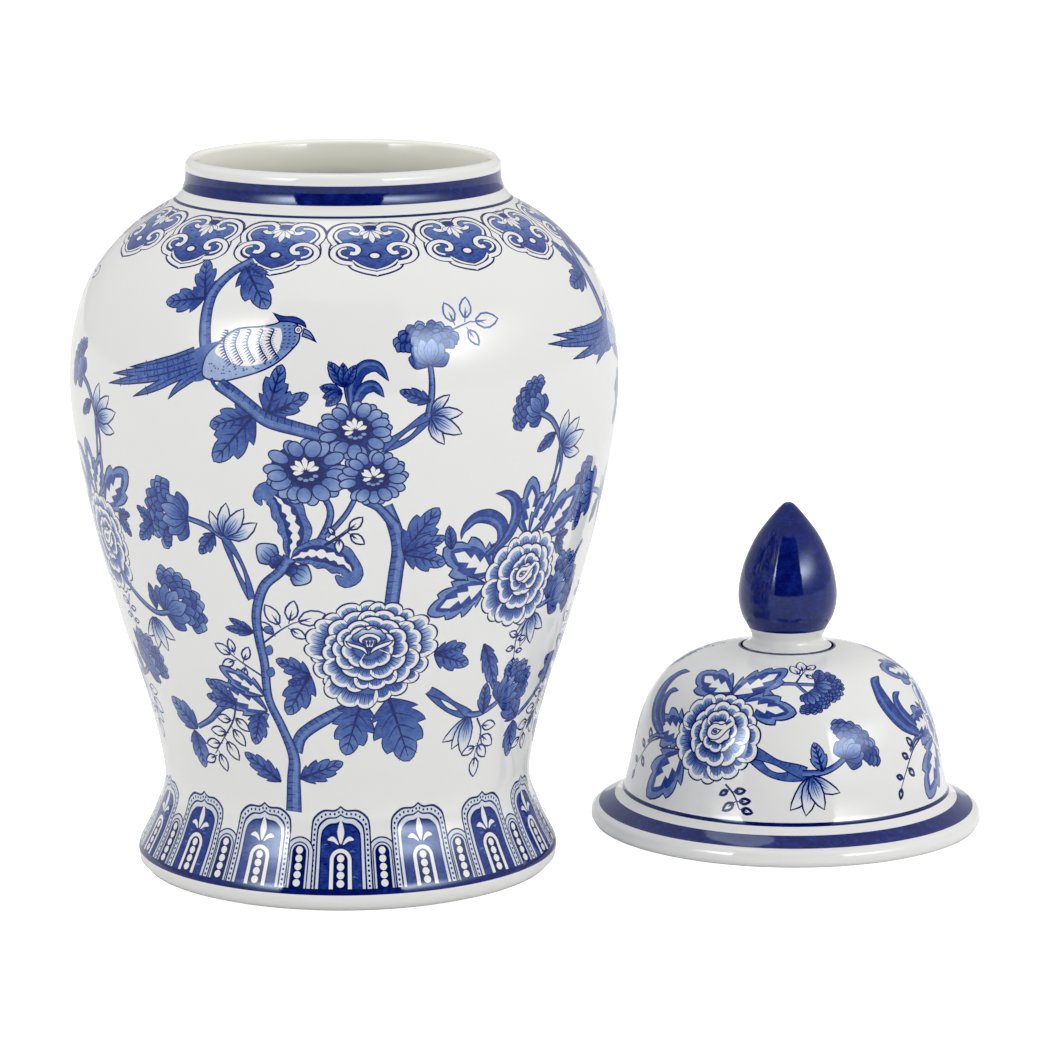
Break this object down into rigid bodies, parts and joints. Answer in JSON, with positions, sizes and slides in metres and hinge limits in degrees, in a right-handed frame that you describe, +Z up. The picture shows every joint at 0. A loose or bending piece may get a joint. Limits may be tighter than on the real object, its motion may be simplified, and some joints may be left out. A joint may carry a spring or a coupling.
{
  "type": "ginger jar",
  "caption": "Tall baluster ginger jar with a spreading foot and open round mouth, with its domed, bud-topped lid standing beside it.",
  "frame": {"origin": "on the floor, at the centre of the rectangle that the jar and the lid beside it cover", "axes": "+Z up; +X from the jar towards the lid, along the longest side; +Y away from the viewer, the lid standing a little farther back than the jar"},
  "size_m": [0.4014, 0.276, 0.31],
  "materials": {
    "jar_glaze": "high-gloss clear glaze over underglaze cobalt painting on white porcelain",
    "lid_glaze": "high-gloss clear glaze over underglaze cobalt painting on white porcelain",
    "cobalt_glaze": "high-gloss clear glaze over solid cobalt, white at the neck"
  },
  "bodies": {
    "jar": {"jar_body": "jar_glaze"},
    "lid": {"lid": "lid_glaze", "lid_finial": "cobalt_glaze"}
  },
  "joints": [
    {"name": "lid_lift", "type": "slide", "parent": "jar", "child": "lid", "axis": [0, 0, 1], "range_m": [0, 0.33]}
  ]
}
